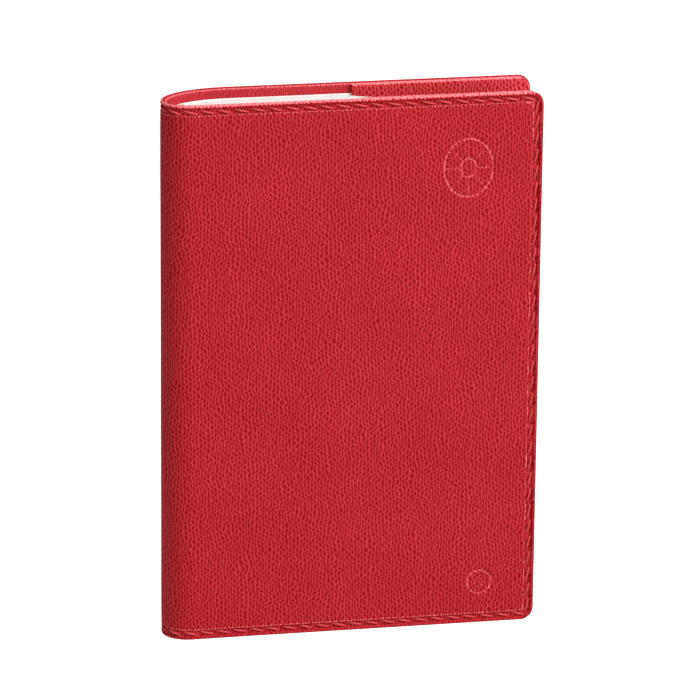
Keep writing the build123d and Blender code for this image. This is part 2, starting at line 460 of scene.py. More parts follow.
def make_grain():
    group, given, result = node_group(
        "ridged_grain",
        [("Vector", "NodeSocketVector", None), ("Pit Width", "NodeSocketFloat", 1.0),
         ("Pit Height", "NodeSocketFloat", 1.6), ("Waviness", "NodeSocketFloat", 1.0)],
        [("Height", "NodeSocketFloat"), ("Pit", "NodeSocketFloat"), ("Patch", "NodeSocketFloat")],
    )
    to_mm = add(group, "ShaderNodeVectorMath", operation="SCALE")
    to_mm.inputs["Scale"].default_value = 1 / mm
    join(group, given, "Vector", to_mm, 0)
    wandering = warp(group, to_mm, 0.13, 3.4)
    zigzag = warp(group, wandering, 0.8, (given, "Waviness"))
    apart = add(group, "ShaderNodeSeparateXYZ")
    join(group, zigzag, "Vector", apart, 0)
    across = maths(group, "DIVIDE", (apart, "X"), (given, "Pit Width"))
    upward = maths(group, "DIVIDE", (apart, "Y"), (given, "Pit Height"))
    half_turn = maths(group, "COSINE", maths(group, "MULTIPLY", across, math.pi))
    whole_turn = maths(group, "COSINE", maths(group, "MULTIPLY", across, math.tau))
    rise = maths(group, "COSINE", maths(group, "MULTIPLY", upward, math.tau))
    stagger = maths(group, "MULTIPLY", half_turn, rise)
    columns = maths(group, "MULTIPLY_ADD", whole_turn, 0.34, 0.54)
    net = maths(group, "MULTIPLY_ADD", stagger, 0.32, columns)
    fine = add(group, "ShaderNodeTexNoise", Scale=1.6, Detail=3.0, Roughness=0.6)
    join(group, to_mm, "Vector", fine, "Vector")
    uneven = maths(group, "MULTIPLY_ADD", (fine, "Fac"), 1.0, -0.5)
    hollow = maths(group, "ADD", net, uneven, clamp=True)
    pit = maths(group, "MAXIMUM", hollow, 0.08)
    join(group, pit[0], "Value", result, "Pit")
    high = maths(group, "SUBTRACT", 1.0, pit)
    join(group, high[0], "Value", result, "Height")
    patch = add(group, "ShaderNodeTexNoise", Scale=0.05, Detail=3.0)
    join(group, to_mm, "Vector", patch, "Vector")
    join(group, patch, "Fac", result, "Patch")
    return group


grain_group = make_grain()
print("group", grain_group.name, "with", len(grain_group.nodes), "nodes")

# %% [markdown]
# ## Leather materials
#
# The skin and the pockets are one dyed imitation leather; the pockets' copy has lighter tones, which
# is painted light on the insides of the covers. The lining has a finer grain. All read the flat map,
# so the grain runs straight on round the spine and stays put when it bends. The colour is darker in
# the pits, which is painted shade, and paler on the ridges, a painted highlight, and it drifts
# slowly. The second map says where a hot stamp or wear has flattened the grain. There the colour is
# palest: a painted highlight on the pressed lines, on the worn rims, most of all at the head, and
# along the panel's edge.

# %% Leather
def red_leather(name, pit, waviness, depth, tones, roughness):
    material, tree, shader = new_material(name)
    flat = add(tree, "ShaderNodeUVMap", uv_map="flat")
    grain = use_group(tree, grain_group, Pit_Width=pit[0], Pit_Height=pit[1], Waviness=waviness)
    join(tree, flat, "UV", grain, "Vector")
    press = add(tree, "ShaderNodeUVMap", uv_map="pressed")
    share = add(tree, "ShaderNodeSeparateXYZ")
    join(tree, press, "UV", share, 0)
    smoothed = maths(tree, "MAXIMUM", maths(tree, "MULTIPLY", (share, "X"), 0.9),
                     maths(tree, "MULTIPLY", (share, "Y"), 0.65))
    kept = maths(tree, "SUBTRACT", 1.0, smoothed)
    # The second channel holds edge wear and the painted highlights of the rims and the panel's edge.
    wear_and_highlight_share = maths(tree, "MULTIPLY", (share, "Y"), 0.9)
    # Pressed marks and that channel lift the colour towards its palest stop: a painted highlight.
    level = maths(tree, "MULTIPLY_ADD", (share, "X"), 0.97, wear_and_highlight_share)
    relief = maths(tree, "MULTIPLY_ADD", (grain, "Height"), kept, level)
    # Pit shade, body colour, ridge highlight and the palest highlight, all painted.
    deep, body, ridge_highlight, wear_and_highlight_tone = tones
    tone = ramp(tree, relief, [(0.0, deep), (0.45, body), (0.93, ridge_highlight), (1.0, wear_and_highlight_tone)])
    patch = ramp(tree, (grain, "Patch"), [(0.3, (0.88, 0.84, 0.86)), (0.7, (1.0, 1.0, 1.0))])
    drift = add(tree, "ShaderNodeMix", data_type="RGBA", blend_type="MULTIPLY")
    drift.inputs["Factor"].default_value = 0.7
    tree.links.new(tone.outputs["Color"], drift.inputs[6])
    tree.links.new(patch.outputs["Color"], drift.inputs[7])
    tree.links.new(drift.outputs[2], shader.inputs["Base Color"])
    shine = add(tree, "ShaderNodeMapRange")
    shine.inputs["To Min"].default_value = roughness
    shine.inputs["To Max"].default_value = roughness + 0.25
    join(tree, grain, "Pit", shine, "Value")
    join(tree, shine, "Result", shader, "Roughness")
    bump_by(tree, shader, relief, 1.0, depth)
    shader.inputs["Specular IOR Level"].default_value = 0.1
    return material


# Each set of tones runs from painted shade in the pits to the palest painted highlight on rims.
skin_leather = red_leather("red_cover_leather", (0.98, 1.6), 1.0, 0.13 * mm,
                           ((0.26, 0.002, 0.006), (0.375, 0.007, 0.013), (0.52, 0.032, 0.046),
                            (0.92, 0.220, 0.240)), 0.48)
# The pockets are the skin's leather with lighter tones: painted light on the insides of the covers.
pocket_leather_painted_lighter = red_leather("red_pocket_leather", (0.98, 1.6), 1.0, 0.13 * mm,
                             ((0.38, 0.006, 0.012), (0.54, 0.024, 0.032), (0.70, 0.082, 0.098),
                              (0.94, 0.240, 0.260)), 0.48)
lining_leather = red_leather("red_lining_leather", (0.62, 1.9), 0.8, 0.07 * mm,
                             ((0.38, 0.012, 0.018), (0.46, 0.024, 0.032), (0.56, 0.046, 0.058),
                              (0.92, 0.220, 0.240)), 0.55)

# %% [markdown]
# ## Thread and woven finishes
#
# Sewing thread is strands twisted together, so a slanted wave across each stitch's own map gives
# both its colour and its bump; its dark bands, where the strands dip, are painted shade. Gauze and
# tape are plain weaves: two sine waves at right angles, one for the warp and one for the weft, make
# one shared group.

# %% Thread
def twisted_thread(name, light, dark, turns, uv_map=None):
    """Twisted thread, with turns per unit of its own UV map, or of object space without one."""
    material, tree, shader = new_material(name)
    twist = add(tree, "ShaderNodeTexWave", wave_type="BANDS", bands_direction="DIAGONAL",
                Scale=turns, Distortion=1.0, Detail=2.0)
    if uv_map:
        join(tree, add(tree, "ShaderNodeUVMap", uv_map=uv_map), "UV", twist, "Vector")
    else:
        in_object_space(tree, twist)
    # The dark stop is painted shade between the twisted strands.
    colour_by(tree, shader, (twist, "Fac"), [(0.15, dark), (0.8, light)])
    bump_by(tree, shader, (twist, "Fac"), 0.8, 0.06 * mm)
    shader.inputs["Roughness"].default_value = 0.45
    shader.inputs["Specular IOR Level"].default_value = 0.3
    return material


red_thread = twisted_thread("red_cover_thread", (0.66, 0.060, 0.075), (0.34, 0.008, 0.014), 1.1,
                            uv_map="strand")
linen_thread = twisted_thread("linen_sewing_thread", (0.82, 0.78, 0.68), (0.6, 0.55, 0.45),
                              1.1 / (1.2 * mm))
print("threads", red_thread.name, "and", linen_thread.name)


# %% Plain weave
def make_weave():
    group, given, result = node_group(
        "plain_weave",
        [("Vector", "NodeSocketVector", None), ("Yarn Pitch", "NodeSocketFloat", 0.001)],
        [("Height", "NodeSocketFloat"), ("Gap", "NodeSocketFloat")],
    )
    counted = add(group, "ShaderNodeVectorMath", operation="DIVIDE")
    pitch = add(group, "ShaderNodeCombineXYZ")
    for axis in "XYZ":
        join(group, given, "Yarn Pitch", pitch, axis)
    join(group, given, "Vector", counted, 0)
    join(group, pitch, "Vector", counted, 1)
    apart = add(group, "ShaderNodeSeparateXYZ")
    join(group, counted, "Vector", apart, 0)
    across = maths(group, "ADD", (apart, "X"), (apart, "Y"))
    warp_yarn = maths(group, "SINE", maths(group, "MULTIPLY", across, math.pi))
    weft_yarn = maths(group, "SINE", maths(group, "MULTIPLY", (apart, "Z"), math.pi))
    over = maths(group, "MULTIPLY", warp_yarn, weft_yarn)
    high = maths(group, "ABSOLUTE", over)
    join(group, high[0], "Value", result, "Height")
    gap = maths(group, "SUBTRACT", 1.0, maths(group, "POWER", high, 0.5), clamp=True)
    join(group, gap[0], "Value", result, "Gap")
    return group


weave_group = make_weave()


def woven(name, pitch, yarn, shade, depth):
    material, tree, shader = new_material(name)
    weave = use_group(tree, weave_group, Yarn_Pitch=pitch)
    in_object_space(tree, weave)
    colour_by(tree, shader, (weave, "Gap"), [(0.1, yarn), (0.9, shade)])
    bump_by(tree, shader, (weave, "Height"), 0.9, depth)
    shader.inputs["Roughness"].default_value = 0.85
    return material


mull_gauze = woven("starched_gauze", 0.9 * mm, (0.86, 0.84, 0.78), (0.5, 0.47, 0.4), 0.05 * mm)
linen_tape = woven("linen_tape", 0.4 * mm, (0.88, 0.86, 0.8), (0.62, 0.58, 0.5), 0.04 * mm)
print("weaves", mull_gauze.name, "and", linen_tape.name, "share the group", weave_group.name)

# %% [markdown]
# ## Paper, card, glue and foam
#
# Paper and card are felted fibres: a stretched fine noise gives the fibres, and a slow noise the
# cloudiness that shows when a sheet is tilted. It is one group, used by four materials. Page faces
# add ruled lines by height. Sheet edges add fine streaks, one per leaf, read from the page's map.

# %% Fibre group
def make_fibres():
    group, given, result = node_group(
        "paper_fibres",
        [("Vector", "NodeSocketVector", None), ("Fibre Length", "NodeSocketFloat", 0.002)],
        [("Fibre", "NodeSocketFloat"), ("Cloud", "NodeSocketFloat")],
    )
    size = maths(group, "DIVIDE", 1.0, (given, "Fibre Length"))
    fibre = add(group, "ShaderNodeTexNoise", Detail=5.0, Roughness=0.65, Distortion=1.5)
    cloud = add(group, "ShaderNodeTexNoise", Scale=90.0, Detail=2.0)
    join(group, given, "Vector", fibre, "Vector")
    join(group, size[0], "Value", fibre, "Scale")
    join(group, given, "Vector", cloud, "Vector")
    join(group, fibre, "Fac", result, "Fibre")
    join(group, cloud, "Fac", result, "Cloud")
    return group


fibre_group = make_fibres()


def felted(name, fibre_length, low, high, depth, roughness):
    """Paper or card. Returns the material, its nodes and its colour, for patterns on top."""
    material, tree, shader = new_material(name)
    fibres = use_group(tree, fibre_group, Fibre_Length=fibre_length)
    in_object_space(tree, fibres)
    mixed = maths(tree, "ADD", maths(tree, "MULTIPLY", (fibres, "Fibre"), 0.6),
                  maths(tree, "MULTIPLY", (fibres, "Cloud"), 0.4))
    tone = colour_by(tree, shader, mixed, [(0.3, low), (0.7, high)])
    bump_by(tree, shader, (fibres, "Fibre"), 0.5, depth)
    shader.inputs["Roughness"].default_value = roughness
    return material, tree, shader, tone


def overprint(tree, shader, tone, mask, colour):
    """Prints one colour over a material where a mask is 1."""
    print_over = add(tree, "ShaderNodeMix", data_type="RGBA")
    tree.links.new(mask[0].outputs[mask[1]], print_over.inputs["Factor"])
    tree.links.new(tone.outputs["Color"], print_over.inputs[6])
    print_over.inputs[7].default_value = (*colour, 1)
    tree.links.new(print_over.outputs[2], shader.inputs["Base Color"])


# %% Paper, card and the rest
def ruled_paper(line_pitch=6.5 * mm, line_width=0.22 * mm, head_margin=14 * mm, foot_margin=9 * mm):
    material, tree, shader, tone = felted("ruled_paper", 1.5 * mm, (0.80, 0.79, 0.76),
                                          (0.88, 0.87, 0.845), 0.01 * mm, 0.75)
    place = add(tree, "ShaderNodeTexCoord")
    apart = add(tree, "ShaderNodeSeparateXYZ")
    join(tree, place, "Object", apart, 0)
    down = maths(tree, "SUBTRACT", leaf_head - head_margin, (apart, "Z"))
    place_in_line = maths(tree, "MODULO", maths(tree, "ADD", down, 100 * line_pitch), line_pitch)
    on_line = maths(tree, "LESS_THAN", place_in_line, line_width)
    under_head = maths(tree, "GREATER_THAN", down, -line_width)
    over_foot = maths(tree, "GREATER_THAN", (apart, "Z"), leaf_foot + foot_margin)
    printed = maths(tree, "MULTIPLY", maths(tree, "MULTIPLY", on_line, under_head), over_foot)
    overprint(tree, shader, tone, printed, (0.45, 0.47, 0.52))
    return material


def leaf_edges():
    # The edge tones are the page paper painted darker and faintly pink: painted shade, and painted
    # reflected light from the red cover.
    material, tree, shader, tone = felted("cut_leaf_edges", 0.8 * mm, (0.66, 0.64, 0.63),
                                          (0.76, 0.745, 0.735), 0.015 * mm, 0.8)
    leaf = add(tree, "ShaderNodeUVMap", uv_map="leaves")
    streaks = add(tree, "ShaderNodeTexNoise", noise_dimensions="2D", Scale=1.0, Detail=4.0,
                  Roughness=0.7)
    stretch = add(tree, "ShaderNodeMapping")
    stretch.inputs["Scale"].default_value = (9.0, 12.0, 1.0)
    join(tree, leaf, "UV", stretch, "Vector")
    join(tree, stretch, "Vector", streaks, "Vector")
    dark = maths(tree, "MULTIPLY", maths(tree, "SUBTRACT", 0.62, (streaks, "Fac"), clamp=True), 1.1)
    overprint(tree, shader, tone, dark, (0.52, 0.50, 0.47))
    bump = shader.inputs["Normal"].links[0].from_node
    join(tree, streaks, "Fac", bump, "Height")
    return material


def soft_foam():
    material, tree, shader = new_material("open_cell_foam")
    cells = add(tree, "ShaderNodeTexVoronoi", Scale=1 / (0.5 * mm))
    in_object_space(tree, cells)
    # The dark stop is painted shade in the open cells.
    colour_by(tree, shader, (cells, "Distance"),
              [(0.1, (0.42, 0.40, 0.36)), (0.6, (0.74, 0.72, 0.66))])
    bump_by(tree, shader, (cells, "Distance"), 0.8, 0.08 * mm)
    shader.inputs["Roughness"].default_value = 0.95
    return material


def dried_glue():
    material, tree, shader = new_material("dried_glue")
    brushed = add(tree, "ShaderNodeTexNoise", Scale=400.0, Detail=4.0, Distortion=2.0)
    in_object_space(tree, brushed)
    colour_by(tree, shader, (brushed, "Fac"),
              [(0.3, (0.62, 0.55, 0.38)), (0.75, (0.82, 0.77, 0.62))])
    bump_by(tree, shader, (brushed, "Fac"), 0.6, 0.05 * mm)
    shader.inputs["Roughness"].default_value = 0.3
    shader.inputs["Coat Weight"].default_value = 0.3
    return material


page_face = ruled_paper()
page_edge = leaf_edges()
cover_card = felted("refill_card", 2.5 * mm, (0.72, 0.715, 0.70), (0.85, 0.845, 0.83),
                    0.03 * mm, 0.6)[0]
endpaper = felted("endpaper", 2.0 * mm, (0.82, 0.81, 0.79), (0.9, 0.895, 0.88),
                  0.015 * mm, 0.7)[0]
foam = soft_foam()
glue = dried_glue()
print(len(bpy.data.materials), "materials so far")

# %% [markdown]
# ## The skin, sewn flat
#
# The rings below are the border's profile, from the turned-in lip over the rounded rim, down into
# the stitched groove and up onto the padded panel. Each is (inset, corner radius, depth) in mm.
# The panel is then crowned a little by its foam, and the marks are pressed into the front.

# %% Skin profile
skin_rings = [
    (3.5, 2.2, 0.82), (3.4, 2.25, 0.84), (3.3, 2.3, 0.95), (3.25, 2.3, 1.3), (3.1, 2.35, 1.38),
    (0.75, 3.1, 1.38), (0.3, 3.5, 1.36), (0.06, 3.75, 1.1), (0.0, 3.8, 0.75), (0.1, 3.7, 0.4),
    (0.34, 3.5, 0.17), (0.62, 3.35, 0.08), (0.88, 3.2, 0.12), (1.04, 3.1, 0.3), (1.12, 3.05, 0.58),
    (1.35, 2.95, 0.72), (2.5, 2.6, 0.72), (2.76, 2.5, 0.58), (2.86, 2.45, 0.25), (2.98, 2.4, 0.08),
    (3.3, 2.35, 0.01), (4.6, 2.3, 0.0),
]


def inset_rings(rings, low_u=0.0, high_u=track.length, low_z=0.0, high_z=height):
    """Rings in mm, as (inset, corner radius, depth), on a part of the flat sheet in metres."""
    return [
        ((low_u + i * mm, high_u - i * mm, low_z + i * mm, high_z - i * mm), radius * mm, depth * mm)
        for i, radius, depth in rings
    ]


# %% Pressed marks
# Each mark is (middle x, middle z, half width, half height). Places in it are shares of its half
# width, and line widths are in mm.
marks = {
    "medallion": (edge_x - 21 * mm, height - 21 * mm, 7.25 * mm, 8.75 * mm),
    "roundel": (edge_x - 16 * mm, 12.5 * mm, 3.6 * mm, 3.6 * mm),
}
mark_reach = 1.15
ring_at, ring_line = 0.95, 0.42
hub_at, hub_line = 0.3, 0.38
rays_end, ray_line = 0.86, 0.32
lozenge_at, lozenge_line = 0.45, 0.4
press_depth = 0.34 * mm


def line_dip(distance, width):
    """A soft-edged pressed line: 1 on the line, 0 a width away from it."""
    t = min(1.0, abs(distance) / width)
    return 1 - t * t * (3 - 2 * t)


def mark_depth(x, z):
    """How far the blind-pressed marks go in at a point of the front cover, from 0 to 1."""
    deep = 0.0
    for name, (mark_x, mark_z, wide, tall) in marks.items():
        dx, dz = (x - mark_x) / wide, (z - mark_z) / tall
        away = math.hypot(dx, dz)
        if away > mark_reach:
            continue
        scale = wide / mm
        deep = max(deep, line_dip((away - ring_at) * scale, ring_line))
        if name == "medallion":
            ray = abs(math.sin(4 * math.atan2(dz, dx))) * away * scale / 4
            if hub_at < away < rays_end:
                deep = max(deep, 0.8 * line_dip(ray, ray_line))
            deep = max(deep, line_dip((away - hub_at) * scale, hub_line))
        else:
            lozenge = abs(dx) + abs(dz) - lozenge_at
            deep = max(deep, 0.9 * line_dip(lozenge * scale, lozenge_line))
    return deep


def is_near_mark(x, z, whole_cell=3 * mm):
    """Whether a point of the front is within one cell of the mesh of a mark."""
    return any(
        abs(x - mark_x) < wide + whole_cell and abs(z - mark_z) < tall + whole_cell
        for mark_x, mark_z, wide, tall in marks.values()
    )


# %% Cut and shape the flat skin
def bell(value, centre, width):
    """A smooth hump: 1 at the centre, 0 a width away on either side."""
    return line_dip(value - centre, width)


def edge_wear_and_highlight(inset, z):
    """Turned edges are worn smooth and carry a painted highlight, strongest at the head."""
    # The extra paleness at the head is a painted highlight where the top light falls.
    at_head = bell(z, height, 6 * mm)
    return bell(max(0.0, inset - 0.36 * mm), 0.0, 0.45 * mm) * (0.2 + 0.8 * at_head)


def worn_highlit_edges(bm, low_u, high_u):
    """The edge wear and painted highlight share of each point of a sheet from low_u to high_u."""
    shares = {}
    for vert in bm.verts:
        u, z = vert.co.xy
        shares[vert] = (0.0, edge_wear_and_highlight(min(u - low_u, high_u - u, z, height - z), z))
    return shares


def groove_share(u):
    """The groove is full on the flat covers and shallower where the roll stretches the leather."""
    roll = bell(u, track.u_at(hinge_x - 6 * mm, "front"), 20 * mm)
    return 1 - 0.5 * roll


def hinge_cuts(pitch_flat, pitch_roll):
    """Places along the sheet where it needs an edge: dense in the roll, sparse on the flats."""
    roll_start = track.u_at(back_x, "back")
    roll = spread(roll_start, front_flat_u, pitch_roll)
    front = spread(front_flat_u, track.length, pitch_flat)
    return [*spread(0, roll_start, pitch_flat), roll_start, *roll, front_flat_u, *front]


def front_x(u):
    """The x position of a point of the flat front cover."""
    return flat_x + u - front_flat_u


def refine_marks(bm, cuts=12):
    """Divides the outer faces round the pressed marks finely enough to hold their lines."""
    outer = -0.05 * mm
    edges = []
    for edge in bm.edges:
        middle = (edge.verts[0].co + edge.verts[1].co) / 2
        is_outer = all(v.co.z > outer for v in edge.verts)
        if is_outer and middle.x > front_flat_u and is_near_mark(front_x(middle.x), middle.y):
            edges.append(edge)
    bmesh.ops.subdivide_edges(bm, edges=edges, cuts=cuts, use_grid_fill=True)


def shape_panel(bm):
    """Crowns the padded panel, presses the marks, returns press and wear-and-highlight shares."""
    panel_inset = 3.0 * mm
    groove_end = 3.25 * mm
    crown_reach, crown = 6 * mm, 0.06 * mm
    pressed = {}
    for vert in bm.verts:
        u, z, out = vert.co
        inset = min(u, track.length - u, z, height - z)
        if inset < groove_end and out > -0.8 * mm:
            vert.co.z = out * groove_share(u)
            # The bell at 3.08 mm is a painted highlight along the panel's raised edge.
            pressed[vert] = (0.0, max(edge_wear_and_highlight(inset, z), bell(inset, 3.08 * mm, 0.3 * mm)))
        if out < -0.3 * mm or inset < panel_inset:
            continue
        wander = noise.noise(Vector((u * 30, z * 30, 0.0))) * crown
        fade = min(1.0, (inset - panel_inset) / crown_reach)
        dip = mark_depth(front_x(u), z) if u > front_flat_u else 0.0
        vert.co.z = out - (1 - fade) * crown - abs(wander) * fade - dip * press_depth
        # The press share also paints the pressed lines pale in the leather: a painted highlight.
        pressed[vert] = (dip, 0.0) if dip else pressed.get(vert, (0.0, 0.0))
    return pressed


skin = ring_slab(inset_rings(skin_rings))
cut_lines(skin, "u", hinge_cuts(3 * mm, 0.55 * mm))
cut_lines(skin, "z", spread(0, height, 3 * mm))
refine_marks(skin)
keep_flat_map(skin, shape_panel(skin))
roll_up(skin)
print("skin has", len(skin.faces), "faces before it is split")

place_at_hinges(skin, "skin", [skin_leather])

# %% [markdown]
# ## Foam padding
#
# Thin foam between the skin and the lining makes the panel soft and lets it stand proud of the
# border. Cloth simulation could puff up a thick pad, but this sheet is half a millimetre thick, so
# rings give its true shape. It is cut to the size of the panel and lies in the hollow of the skin.

# %% Foam
foam_rings = [
    (4.2, 2.0, 1.36), (3.8, 2.1, 1.34), (3.62, 2.1, 1.2), (3.6, 2.1, 1.0), (3.75, 2.0, 0.9),
    (4.4, 2.0, 0.88),
]


def rolled_sheet(rings, flat_pitch, roll_pitch, rise_pitch, has_worn_highlit_edges=False):
    """A sheet through these rings, cut where it must bend, mapped and rolled round the book."""
    bm = ring_slab(rings)
    cut_lines(bm, "u", hinge_cuts(flat_pitch, roll_pitch))
    cut_lines(bm, "z", spread(0, height, rise_pitch))
    keep_flat_map(bm, worn_highlit_edges(bm, 0.0, track.length) if has_worn_highlit_edges else None)
    roll_up(bm)
    return bm


foam_sheet = rolled_sheet(inset_rings(foam_rings), 6 * mm, 0.8 * mm, 6 * mm)
for piece in place_at_hinges(foam_sheet, "padding", [foam]):
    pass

# %% [markdown]
# ## Lining
#
# The lining is a thinner sheet of the same material, sewn to the skin's turned-in hem. Its edge
# stops just short of the skin's, so the two layers show as a fine seam all round.

# %% Lining
lining_rings = [
    (0.7, 3.1, 1.42), (0.42, 3.4, 1.43), (0.32, 3.5, 1.5), (0.3, 3.5, 1.62), (0.36, 3.45, 1.74),
    (0.6, 3.3, 1.8), (1.2, 3.0, 1.8),
]
lining = rolled_sheet(inset_rings(lining_rings), 4 * mm, 0.55 * mm, 6 * mm, has_worn_highlit_edges=True)
place_at_hinges(lining, "lining", [lining_leather])

# %% [markdown]
# ## Pockets
#
# A pocket on each cover holds the refill's card. It is one more sheet of leather, sewn into the
# border on three sides, so its rim is thick and its middle stands off the lining by the card. The
# free edge is cut straight: the slab is made too long, and the surplus is cut off along that line.

# %% Pockets
pocket_rings = [
    (3.0, 2.2, 2.35), (2.85, 2.25, 2.3), (2.8, 2.3, 1.86), (2.6, 2.4, 1.82), (0.7, 3.3, 1.82),
    (0.4, 3.5, 1.86), (0.3, 3.55, 2.05), (0.3, 3.55, 2.6), (0.36, 3.5, 2.8), (0.55, 3.4, 2.95),
    (0.85, 3.3, 3.02), (1.3, 3.1, 3.05), (2.4, 2.6, 3.05),
]
surplus = 8 * mm
pocket_limits = {
    "front": (track.u_at(pocket_x, "front"), track.length),
    "back": (0.0, track.u_at(pocket_x, "back")),
}


def make_pocket(side):
    low_u, high_u = pocket_limits[side]
    free_u, facing = (low_u, -1) if side == "front" else (high_u, 1)
    ends = (low_u - surplus, high_u) if side == "front" else (low_u, high_u + surplus)
    bm = ring_slab(inset_rings(pocket_rings, *ends))
    cut_lines(bm, "z", spread(0, height, 6 * mm))
    cut_across(bm, (free_u, 0, 0), (facing, 0, 0), clear=True)
    rim = [e for e in bm.edges if e.is_boundary]
    bmesh.ops.holes_fill(bm, edges=rim)
    caps = [f for f in bm.faces if all(abs(v.co.x - free_u) < same_place for v in f.verts)]
    bmesh.ops.triangulate(bm, faces=caps)
    for edge in rim:
        edge.smooth = False
    keep_flat_map(bm, worn_highlit_edges(bm, *ends))
    roll_up(bm)
    piece = make_object(bm, f"{side}_pocket_piece", [pocket_leather_painted_lighter])
    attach(piece, f"{side}_cover")
    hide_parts(f"{side}_pocket")
    print(piece.name, len(piece.data.polygons), "faces")


for side in chains:
    make_pocket(side)

# %% [markdown]
# ## Stitches
#
# Each stitch is a short length of thread that comes up through one hole and goes down the next one,
# leaning a little across the seam, so the row looks like a fine rope. A small sphere is drawn out
# into that shape: it is a few dozen faces, because there are hundreds. The rows are laid on the flat
# sheet all round the border, in the groove, and rolled with everything else.

# %% Stitches
stitch_pitch = 4.7 * mm
stitch_length = 4.6 * mm
stitch_width = 0.7 * mm
stitch_lean = 15
seam_inset = 1.95 * mm
seam_radius = 2.4 * mm
groove_depth = 0.7 * mm
stitch_arch = 0.4 * mm
stitch_tilt = 0.08 * mm
stitch_sink = 0.2 * mm


def seam_places(pitch):
    """Places and directions along the seam line on the flat sheet, all the way round it."""
    low, high_u, high_z = seam_inset, track.length - seam_inset, height - seam_inset
    places = []
    for start, along, length in (
        (Vector((low, high_z)), Vector((1, 0)), high_u - low),
        (Vector((high_u, high_z)), Vector((0, -1)), high_z - low),
        (Vector((high_u, low)), Vector((-1, 0)), high_u - low),
        (Vector((low, low)), Vector((0, 1)), high_z - low),
    ):
        run = length - 2 * seam_radius
        count = round(run / pitch)
        for n in range(count + 1):
            places.append((start + along * (seam_radius + run * n / count), along))
    return places


def add_stitch(bm, place, along, lean, floor_depth):
    """One stitch on the flat sheet: its ends dive into the leather at the groove's floor."""
    strand = bm.loops.layers.uv.get("strand") or bm.loops.layers.uv.new("strand")
    made = bmesh.ops.create_uvsphere(bm, u_segments=10, v_segments=8, radius=1)["verts"]
    turned = Matrix.Rotation(math.radians(lean), 2) @ along
    aside = Vector((-turned.y, turned.x))
    shares = {}
    for vert in made:
        reach, across, out = vert.co.z, vert.co.x, vert.co.y
        angle = math.atan2(out, across)
        round_end = math.sqrt(max(0.0, 1 - reach ** 6))
        wide = stitch_width / 2 * round_end / max(0.1, math.sqrt(max(0.0, 1 - reach ** 2)))
        spot = place + turned * (reach * stitch_length / 2) + aside * (across * wide)
        arch = (1 - reach ** 2) * stitch_arch + reach * stitch_tilt - stitch_sink
        vert.co = (spot.x, spot.y, arch + out * wide - floor_depth)
        shares[vert] = (reach * stitch_length / 2 / mm, abs(angle) / math.pi)
    for face in {f for vert in made for f in vert.link_faces}:
        for loop in face.loops:
            loop[strand].uv = shares[loop.vert]


def make_seams():
    bm = bmesh.new()
    for number, (place, along) in enumerate(seam_places(stitch_pitch)):
        uneven_lean = 5 * noise.noise(Vector((number * 3.7, 1.3, 0.0)))
        add_stitch(bm, place, along, uneven_lean - stitch_lean, groove_depth * groove_share(place.x))
    bmesh.ops.recalc_face_normals(bm, faces=bm.faces[:])
    roll_up(bm)
    return bm


place_at_hinges(make_seams(), "stitching", [red_thread])

# %% [markdown]
# ## The refill's card
#
# The refill has a soft cover of white card, folded round its spine and pushed into the two pockets.
# It lies just inside the lining, and it has the height of the CAD card.

# %% Card
card_low, card_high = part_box("front_card")
card_edge_u = track.u_at(card_high.x, "front")
card_rings = [
    (0.12, 0.9, 2.25), (0.02, 1.0, 2.22), (0.0, 1.0, 2.1), (0.02, 1.0, 1.95), (0.12, 0.9, 1.92),
]
card_area = track.length - card_edge_u, card_edge_u, card_low.z, card_high.z
card = rolled_sheet(inset_rings(card_rings, *card_area), 6 * mm, 0.6 * mm, 12 * mm)
place_at_hinges(card, "card", [cover_card])

# %% [markdown]
# ## Folded sections
#
# The page block is eight sections of folded leaves. Each is made as a grid in plan, one row per
# group of leaves, and pulled up to the page height. Moving its points rounds the fold that lies
# against the spine, lets the block spread round the pockets, and makes the cut edges slightly
# uneven.

# %% Page block
leaf_rows = 10
fold_depth = 3.0 * mm
fold_clearance = 0.05 * mm
section_gap = 0.03 * mm
section_count = 8
block_at_hinge = (-6.5 * mm, 3.9 * mm)
block_full = (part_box("section_1")[0].y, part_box(f"section_{section_count}")[1].y)
block_in_pockets = (-5.2 * mm, 2.1 * mm)
block_at_edge = (-5.1 * mm, 2.0 * mm)
block_stations = [hinge_x, back_x, pocket_x - 6 * mm, pocket_x + 5 * mm, block_edge_x]
block_widths = [block_at_hinge, block_full, block_full, block_in_pockets, block_at_edge]


def block_limits(x):
    """The page block's front and back limits at an x position."""
    return [float(np.interp(x, block_stations, [limits[n] for limits in block_widths])) for n in (0, 1)]


print("block is", [round(y / mm, 2) for y in block_limits(0)], "mm in the middle")


def fold_line():
    """The inner line of the spine in plan, where the folds lie, as x for each y."""
    u = np.linspace(track.u_at(back_x, "back"), track.u_at(hinge_x, "front"), 400)
    x, y = track.place(u, fold_depth)
    order = np.argsort(y)
    return y[order], x[order]


fold_y, fold_x = fold_line()


def leaf_place(number, share, along):
    """Plan position in section number 0 to 7, share 0 to 1 across it, along 0 to 1 from its fold."""
    first, last = block_at_hinge
    middle = first + (last - first) * (number + 0.5) / section_count
    start = float(np.interp(middle, fold_y, fold_x)) + fold_clearance
    x = start + (block_edge_x - start) * along
    front, back = block_limits(max(x, hinge_x))
    span = (back - front) / section_count
    from_fold = (x - start) / (span * 1.1)
    swell = math.sqrt(max(0.03, 1 - max(0.0, 1 - from_fold) ** 2))
    centre = front + span * (number + 0.5)
    return x, centre + (share - 0.5) * (span - 2 * section_gap) * swell


def station_shares():
    """Stations along a leaf: dense at the fold and over the bend, wide on the flat."""
    steps = ([0, 0.15, 0.4, 0.8, 1.3, 2.0] + [2.0 + n * 0.9 for n in range(1, 22)]
             + [22.0 + n * 3.0 for n in range(1, 25)])
    return [step / steps[-1] for step in steps]


